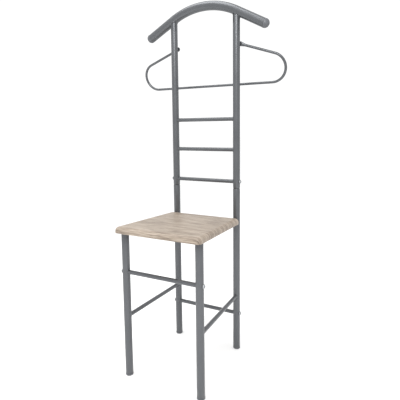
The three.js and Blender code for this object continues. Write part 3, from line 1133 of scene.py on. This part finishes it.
@dataclass
class TrouserLoop:
    """The wire loop behind the uprights, leaning back, with its ends pressed flat.

    Attributes:
        radius: the wire's radius.
        straight_half: half of the bottom run's straight part.
        end_radius: centre-line radius of each end bend.
        tilt: how far the loop leans back from upright.
        arm_angle: how steeply the arms fall, in the loop's own plane.
        thickness: of a pressed end.
        bend_steps: rings in each bend.
        pressed: the rings of a pressed end, from the round wire to the free tip.
    """

    radius: float = 4.0 * MM
    straight_half: float = 206.0 * MM
    end_radius: float = 44.0 * MM
    tilt: float = math.radians(17.4)
    arm_angle: float = math.radians(19.4)
    thickness: float = 3.0 * MM
    bend_steps: int = 28
    pressed: tuple[PressedRing, ...] = (
        PressedRing(26.0 * MM, 4.0 * MM, 4.0 * MM, 0.0),
        PressedRing(22.0 * MM, 3.6 * MM, 4.3 * MM, 0.1),
        PressedRing(18.0 * MM, 2.8 * MM, 5.2 * MM, 0.4),
        PressedRing(14.0 * MM, 2.0 * MM, 6.3 * MM, 0.8),
        PressedRing(11.0 * MM, 1.6 * MM, 6.9 * MM, 1.0),
        PressedRing(8.0 * MM, 1.5 * MM, 7.0 * MM, 1.0),
        PressedRing(-7.5 * MM, 1.5 * MM, 7.0 * MM, 1.0),
        PressedRing(-9.5 * MM, 1.5 * MM, 6.6 * MM, 1.0),
        PressedRing(-11.3 * MM, 1.5 * MM, 5.4 * MM, 1.0),
        PressedRing(-12.4 * MM, 1.4 * MM, 3.6 * MM, 1.0),
        PressedRing(-12.9 * MM, 1.1 * MM, 1.6 * MM, 1.0),
    )

    def in_plane(self, x: float, rise: float) -> Vector:
        """Gives the world point at a place in the loop's own plane."""
        low, high = corners("hanger_wire")
        bottom = Vector((0.0, high.y - self.radius, low.z + self.radius))
        lean = Vector((0.0, -math.sin(self.tilt), math.cos(self.tilt)))
        return bottom + RIGHTWARDS * x + lean * rise

    def tab_centre(self, side: Side) -> Vector:
        """Gives the middle of a pressed end, where its screw goes through."""
        screw = middle(f"hanger_screw_{side.label}")
        back = leg_axis(Row.REAR, side).y + LEG.radius
        return Vector((screw.x, back + 0.3 * MM + self.thickness / 2, screw.z))

    def bend(self) -> list[Station]:
        """Gives the rings from the middle of the bottom run round the right bend."""
        normal = Vector((0.0, math.cos(self.tilt), math.sin(self.tilt)))
        size = self.radius
        rings = [Station(self.in_plane(0.0, 0.0), RIGHTWARDS, normal, size, size)]
        for step in range(self.bend_steps + 1):
            angle = (math.pi - self.arm_angle) * step / self.bend_steps
            centre = self.in_plane(
                self.straight_half + self.end_radius * math.sin(angle),
                self.end_radius * (1 - math.cos(angle)),
            )
            along = self.in_plane(math.cos(angle), math.sin(angle)) - self.in_plane(0.0, 0.0)
            rings.append(Station(centre, along, normal, size, size))
        return rings

    def press(self, arm: Station) -> list[Station]:
        """Gives the rings of the right pressed end.

        Args:
            arm: the last ring of the bend, which faces up the arm.
        """
        tab = self.tab_centre(Side.RIGHT)
        up_arm = arm.along.normalized()
        rings = []
        for ring in self.pressed:
            on_arm = tab - up_arm * ring.place
            on_arm.y += self.radius - self.thickness / 2
            flat = Vector((on_arm.x, tab.y, on_arm.z))
            turn = arm.depthwise.lerp(BACKWARDS, ring.share)
            centre = on_arm.lerp(flat, ring.share)
            rings.append(Station(centre, up_arm, turn, ring.depth, ring.width))
        return rings

    def mirrored(self, ring: Station) -> Station:
        """Gives a ring's twin on the left, with the sweep still running to the right."""
        flip = Matrix.Scale(-1.0, 3, RIGHTWARDS)
        return Station(
            flip @ ring.centre, -(flip @ ring.along), ring.depthwise, ring.depth, ring.width
        )

    def flatten(self, wire: bpy.types.Object) -> None:
        """Gives the pressed ends two flat faces instead of an oval section."""
        tab = self.tab_centre(Side.RIGHT)
        half = self.thickness / 2
        reach = self.pressed[3].place
        for vertex in wire.data.vertices:
            away = (Vector((abs(vertex.co.x), tab.y, vertex.co.z)) - tab).length
            if away < reach:
                swollen = (vertex.co.y - tab.y) * 1.8
                vertex.co.y = tab.y + max(-half, min(half, swollen))

    def build(self, wardrobe: Wardrobe) -> None:
        """Makes the loop and the two screws that hold it."""
        right = self.bend()
        right += self.press(right[-1])
        left = [self.mirrored(ring) for ring in reversed(right[1:])]
        wire = sweep("hanger_wire_loop", closed_ends(left + right), 24)
        self.flatten(wire)
        finish_piece(wire, wardrobe.paint, ["hanger_wire"], 40.0)
        for side in Side:
            node = f"hanger_screw_{side.label}"
            low, high = corners(node)
            seat_face = self.tab_centre(side) + BACKWARDS * self.thickness / 2
            screw = screw_piece(
                node + "_pan_head", seat_face, BACKWARDS, high.y - seat_face.y,
                seat_face.y - low.y, (high.x - low.x) / 2,
            )
            finish_piece(screw, wardrobe.zinc, [node])


# ---------------------------------------------------------------- fasteners


def carve_cross(
    screw: bpy.types.Object, start: Vector, along: Vector, reach: float, depth: float
) -> None:
    """Cuts a cross recess, one slot after the other.

    Args:
        screw: the screw to cut.
        start: the middle of the recess's mouth.
        along: the way out of the recess.
        reach: half of the cross's span.
        depth: how deep the first slot goes; the second goes a hair deeper.
    """
    forward = along.normalized()
    aside = forward.orthogonal().normalized()
    for turn, deeper in ((math.radians(7.0), 1.0), (math.radians(97.0), 1.03)):
        first = Matrix.Rotation(turn, 3, forward) @ aside
        second = forward.cross(first)
        size = Matrix((first * reach, second * reach * 0.24, forward * depth * deeper))
        deselect()
        bpy.ops.mesh.primitive_cube_add(size=2.0)
        slot = bpy.context.object
        slot.data.transform(Matrix.Translation(start) @ size.transposed().to_4x4())
        carve(screw, slot)


SHANK = 2.0 * MM       # radius of a screw's thread over its crests
THREAD_PITCH = 1.4 * MM
HEAD_LIP = 0.25 * MM   # height of the upright rim of a screw's head


def screw_piece(
    name: str, start: Vector, along: Vector, head_height: float, length: float, head_radius: float
) -> bpy.types.Object:
    """Makes a pan-head screw with a cross recess.

    Args:
        name: the screw's name.
        start: the middle of the head's seat.
        along: the way from the thread to the head.
        head_height: how far the head stands out.
        length: how far the thread goes in.
        head_radius: the head's radius.

    Returns:
        The screw.
    """
    profile = [(0.0, -length), (SHANK * 0.4, -length + 0.6 * MM), (SHANK * 0.8, -length + 2.0 * MM)]
    place = -length + 2.6 * MM
    while place < -THREAD_PITCH:
        profile.append((SHANK, place))
        profile.append((SHANK * 0.78, place + THREAD_PITCH / 2))
        place += THREAD_PITCH
    profile.append((SHANK * 0.8, 0.0))
    profile += [(head_radius - 0.2 * MM, 0.0), (head_radius, HEAD_LIP)]
    steps = 6
    for step in range(1, steps):
        angle = math.pi / 2 * step / steps
        profile.append((
            head_radius * math.cos(angle) ** 0.6,
            HEAD_LIP + (head_height - HEAD_LIP) * math.sin(angle),
        ))
    profile.append((0.0, head_height))
    screw = turned(name, profile, start, along, 32)
    mouth = start + along.normalized() * head_height
    carve_cross(screw, mouth, along, head_radius * 0.5, head_height * 0.6)
    return screw


@dataclass
class FurnitureBolt:
    """A domed bolt with a hexagon socket, through a leg into a threaded insert in a rail.

    Attributes:
        rail: the node of the rail that the bolt holds.
        side: which end of the rail.
        row: which legs the rail joins.
        shank_radius: the bolt's own radius.
        rim: height of the head's upright rim, below its dome.
        washer_gap: how far the head's seat stands off the leg's skin.
        socket_radius: corner radius of the hexagon socket.
        socket_depth: its depth.
        dome_steps: rings in the head's dome.
    """

    rail: str
    side: Side
    row: Row
    shank_radius: float = 3.0 * MM
    rim: float = 0.9 * MM
    washer_gap: float = 0.1 * MM
    socket_radius: float = 2.3 * MM
    socket_depth: float = 2.4 * MM
    dome_steps: int = 8

    def build(self, wardrobe: Wardrobe) -> None:
        """Makes the bolt and dresses its insert."""
        node = f"{self.rail}_bolt_{self.side.label}"
        low, high = corners(node)
        axis = leg_axis(self.row, self.side)
        outwards = RIGHTWARDS * self.side.value
        height = (low.z + high.z) / 2
        start = Vector((axis.x, axis.y, height)) + outwards * (LEG.radius + self.washer_gap)
        outer_x = high.x if self.side is Side.RIGHT else low.x
        inner_x = low.x if self.side is Side.RIGHT else high.x
        head_height = abs(outer_x - start.x)
        length = abs(start.x - inner_x)
        head_radius = (high.y - low.y) / 2
        shank = self.shank_radius
        profile = [(0.0, -length), (shank - 0.6 * MM, -length), (shank, -length + 0.8 * MM)]
        profile += [(shank, 0.0), (head_radius - 0.3 * MM, 0.0), (head_radius, 0.3 * MM)]
        for step in range(self.dome_steps):
            angle = math.pi / 2 * step / self.dome_steps
            profile.append((
                head_radius * math.cos(angle) ** 0.8,
                self.rim + (head_height - self.rim) * math.sin(angle),
            ))
        profile.append((0.0, head_height))
        bolt = turned(node + "_domed", profile, start, outwards, 40)
        mouth = start + outwards * (head_height + 0.2 * MM)
        socket_profile = [
            (0.0, -self.socket_depth), (self.socket_radius, -self.socket_depth),
            (self.socket_radius, 1.0 * MM), (0.0, 1.0 * MM),
        ]
        carve(bolt, turned("hexagon_cutter", socket_profile, mouth, outwards, 6))
        finish_piece(bolt, wardrobe.zinc, [node])
        dress_node(f"{self.rail}_insert_{self.side.label}", wardrobe.zinc)


# ---------------------------------------------------------------- seat


@dataclass
class SeatBoard:
    """The shaped fibreboard seat, wrapped in foil, with its four screws from below.

    Attributes:
        front_width: left to right along the front.
        rear_width: left to right along the back.
        depth: front to back, along the board.
        thickness: of the board.
        corner: radius of the board's corners, seen from above.
        top_round: radius of its upper rim.
        bottom_round: radius of its lower rim.
        tilt: how far the board leans back.
        screw_head: height of a seat screw's head.
        screw_slack: how much shorter a screw is than its node's box is high.
    """

    front_width: float = 273.0 * MM
    rear_width: float = 250.0 * MM
    depth: float = 290.0 * MM
    thickness: float = 18.0 * MM
    corner: float = 14.0 * MM
    top_round: float = 12.0 * MM
    bottom_round: float = 1.5 * MM
    tilt: float = math.radians(2.1)
    screw_head: float = 2.8 * MM
    screw_slack: float = 0.4 * MM

    def select_edges(self, board: bpy.types.Object, test: Callable[[Vector, Vector], bool]) -> None:
        """Selects, in edit mode, the edges whose two ends pass a test."""
        bpy.ops.mesh.select_all(action="DESELECT")
        mesh = bmesh.from_edit_mesh(board.data)
        for edge in mesh.edges:
            if test(edge.verts[0].co, edge.verts[1].co):
                edge.select = True
        bmesh.update_edit_mesh(board.data)

    def shape(self) -> bpy.types.Object:
        """Shapes the board from a block, flat and with its middle at the origin."""
        deselect()
        size = (self.front_width, self.depth, self.thickness)
        bpy.ops.mesh.primitive_cube_add(size=1.0, scale=size)
        board = bpy.context.object
        board.name = "seat_board_foiled"
        board.data.name = board.name
        bpy.ops.object.transform_apply(scale=True)
        half = self.thickness / 2
        near = 0.01 * MM
        bpy.ops.object.mode_set(mode="EDIT")
        bpy.ops.mesh.select_mode(type="EDGE")
        self.select_edges(board, lambda a, b: min(a.y, b.y) > 0)
        bpy.ops.transform.resize(value=(self.rear_width / self.front_width, 1.0, 1.0))
        self.select_edges(board, lambda a, b: abs(a.z - b.z) > half)
        bpy.ops.mesh.bevel(offset=self.corner, segments=12, affect="EDGES")
        self.select_edges(board, lambda a, b: min(a.z, b.z) > half - near)
        bpy.ops.mesh.bevel(offset=self.top_round, segments=12, affect="EDGES")
        self.select_edges(board, lambda a, b: max(a.z, b.z) < -half + near)
        bpy.ops.mesh.bevel(offset=self.bottom_round, segments=4, affect="EDGES")
        bpy.ops.mesh.select_mode(type="VERT")
        bpy.ops.object.mode_set(mode="OBJECT")
        return board

    def lay_foil(self, board: bpy.types.Object) -> None:
        """Writes where the flat foil lands on each point, as it goes over the rims."""
        top = self.thickness / 2
        foil = board.data.attributes.new("foil", "FLOAT_VECTOR", "POINT")
        for vertex, place in zip(board.data.vertices, foil.data):
            away = Vector((vertex.normal.x, vertex.normal.y, 0.0))
            if away.length > 0.01:
                away.normalize()
            over = away * (top - vertex.co.z) * 0.8
            place.vector = (vertex.co.x + over.x, vertex.co.y + over.y, 0.0)

    def build(self, wardrobe: Wardrobe) -> None:
        """Makes the board and its screws."""
        board = self.shape()
        self.lay_foil(board)
        board.data.transform(Matrix.Rotation(-self.tilt, 4, "X"))
        reaches = [[vertex.co[axis] for vertex in board.data.vertices] for axis in range(3)]
        centre = Vector([(min(reach) + max(reach)) / 2 for reach in reaches])
        board.data.transform(Matrix.Translation(middle("seat_board") - centre))
        finish_piece(board, wardrobe.foil, ["seat_board"], 60.0)
        upwards = Vector((0.0, math.sin(self.tilt), math.cos(self.tilt)))
        for side in Side:
            for row in Row:
                node = f"seat_screw_{row.value}_{side.label}"
                low, high = corners(node)
                head_radius = (high.x - low.x) / 2
                reach = high.z - low.z
                foot = middle(node) - upwards * reach / 2
                seat_face = foot + upwards * self.screw_head
                screw = screw_piece(
                    node + "_pan_head", seat_face, -upwards, self.screw_head,
                    reach - self.screw_head - self.screw_slack, head_radius,
                )
                finish_piece(screw, wardrobe.zinc, [node])


# ---------------------------------------------------------------- studio


@dataclass(frozen=True)
class Softbox:
    """A square soft light.

    Attributes:
        name: the light's name.
        place: where it stands.
        size: its side.
        power: its power in watts.
    """

    name: str
    place: tuple[float, float, float]
    size: float
    power: float


@dataclass
class Studio:
    """Plain pale floor, soft lights and the camera.

    Attributes:
        lens: focal length in millimetres on a 36 mm sensor.
        eye: the camera's place.
        gaze: the way it looks.
        roll: its lean, in radians.
        shift_y: the lens's vertical shift.
        horizon: brightness of the surroundings round the horizon.
        zenith: their brightness overhead.
        bright_below: height on the unit sphere up to which they stay bright.
        dim_above: height from which they are dim.
        floor_radius: how far the floor reaches.
        softboxes: the soft lights.
        lit_place: what the lights point at, a place over the middle of the seat.
    """

    lens: float = 35.4
    eye: Vector = field(default_factory=lambda: Vector((0.5778, -1.0114, 0.7157)))
    gaze: Vector = field(default_factory=lambda: Vector((-0.4635, 0.8792, -0.1102)))
    roll: float = math.radians(-0.62)
    shift_y: float = -0.069
    horizon: float = 1.08
    zenith: float = 1.03
    bright_below: float = 0.35
    dim_above: float = 0.9
    floor_radius: float = 30.0
    softboxes: tuple[Softbox, ...] = (
        Softbox("key_softbox", (0.55, -1.5, 1.75), 0.7, 21.0),
        Softbox("top_softbox", (-0.4, -0.3, 2.5), 1.3, 22.0),
    )
    lit_place: Vector = field(default_factory=lambda: Vector((0.0, 0.0, 0.7)))

    def place_camera(self) -> None:
        """Puts the camera in front and to the right, well above the seat."""
        data = bpy.data.cameras.new("studio_camera")
        data.lens = self.lens
        data.sensor_width = 36.0
        data.shift_y = self.shift_y
        data.clip_end = 100.0
        camera = bpy.data.objects.new("studio_camera", data)
        bpy.context.collection.objects.link(camera)
        aim = self.gaze.to_track_quat("-Z", "Y").to_matrix().to_4x4()
        camera.matrix_world = (
            Matrix.Translation(self.eye) @ aim @ Matrix.Rotation(self.roll, 4, "Z")
        )
        bpy.context.scene.camera = camera

    def hang(self, softbox: Softbox) -> None:
        """Hangs one softbox and points it at the stand."""
        data = bpy.data.lights.new(softbox.name, "AREA")
        data.shape = "RECTANGLE"
        data.size = data.size_y = softbox.size
        data.energy = softbox.power
        light = bpy.data.objects.new(softbox.name, data)
        bpy.context.collection.objects.link(light)
        place = Vector(softbox.place)
        turn = (self.lit_place - place).to_track_quat("-Z", "Y").to_matrix().to_4x4()
        light.matrix_world = Matrix.Translation(place) @ turn

    def lay_floor(self) -> None:
        """Lays a wide, flat, round floor."""
        deselect()
        bpy.ops.mesh.primitive_circle_add(
            vertices=96, radius=self.floor_radius, fill_type="NGON"
        )
        floor = bpy.context.object
        floor.name = "studio_floor"
        bpy.ops.object.mode_set(mode="EDIT")
        bpy.ops.mesh.inset(thickness=2.0, depth=0.0)
        bpy.ops.object.mode_set(mode="OBJECT")
        floor.data.materials.append(PaleFloor().build())

    def surroundings(self) -> None:
        """Sets the pale surroundings: bright round the horizon, dimmer overhead."""
        world = bpy.data.worlds.new("studio_world")
        bpy.context.scene.world = world
        world.use_nodes = True
        tree = world.node_tree
        place = add_node(tree, "TexCoord").outputs["Generated"]
        height = add_node(tree, "SeparateXYZ", links={"Vector": place}).outputs["Z"]
        bright = add_node(
            tree,
            "MapRange",
            {
                "From Min": self.bright_below,
                "From Max": self.dim_above,
                "To Min": self.horizon,
                "To Max": self.zenith,
            },
            {"Value": height},
        )
        tree.links.new(bright.outputs["Result"], tree.nodes["Background"].inputs["Strength"])
        tree.nodes["Background"].inputs["Color"].default_value = srgb("ffffff")

    def light_room(self) -> None:
        """Hangs the soft lights: a small one above the camera and a larger one overhead."""
        self.surroundings()
        bpy.context.scene.view_settings.view_transform = "Standard"
        for softbox in self.softboxes:
            self.hang(softbox)

    def build(self) -> None:
        """Sets the studio up."""
        self.place_camera()
        self.light_room()
        self.lay_floor()


def main() -> None:
    """Builds the stand's sub-assemblies in order, from the floor up."""
    logging.basicConfig(level=logging.INFO, format="%(name)s: %(message)s")
    Studio().build()
    wardrobe = Wardrobe()
    BaseFrame().build(wardrobe)
    arch = ShoulderArch()
    arch.build(wardrobe)
    LadderBack(arch).build(wardrobe)
    TrouserLoop().build(wardrobe)
    SeatBoard().build(wardrobe)
    for rail, row in (("front_rail", Row.FRONT), ("rear_rail", Row.REAR), ("lower_rung", Row.REAR)):
        for side in Side:
            FurnitureBolt(rail, side, row).build(wardrobe)


if __name__ == "__main__":
    main()
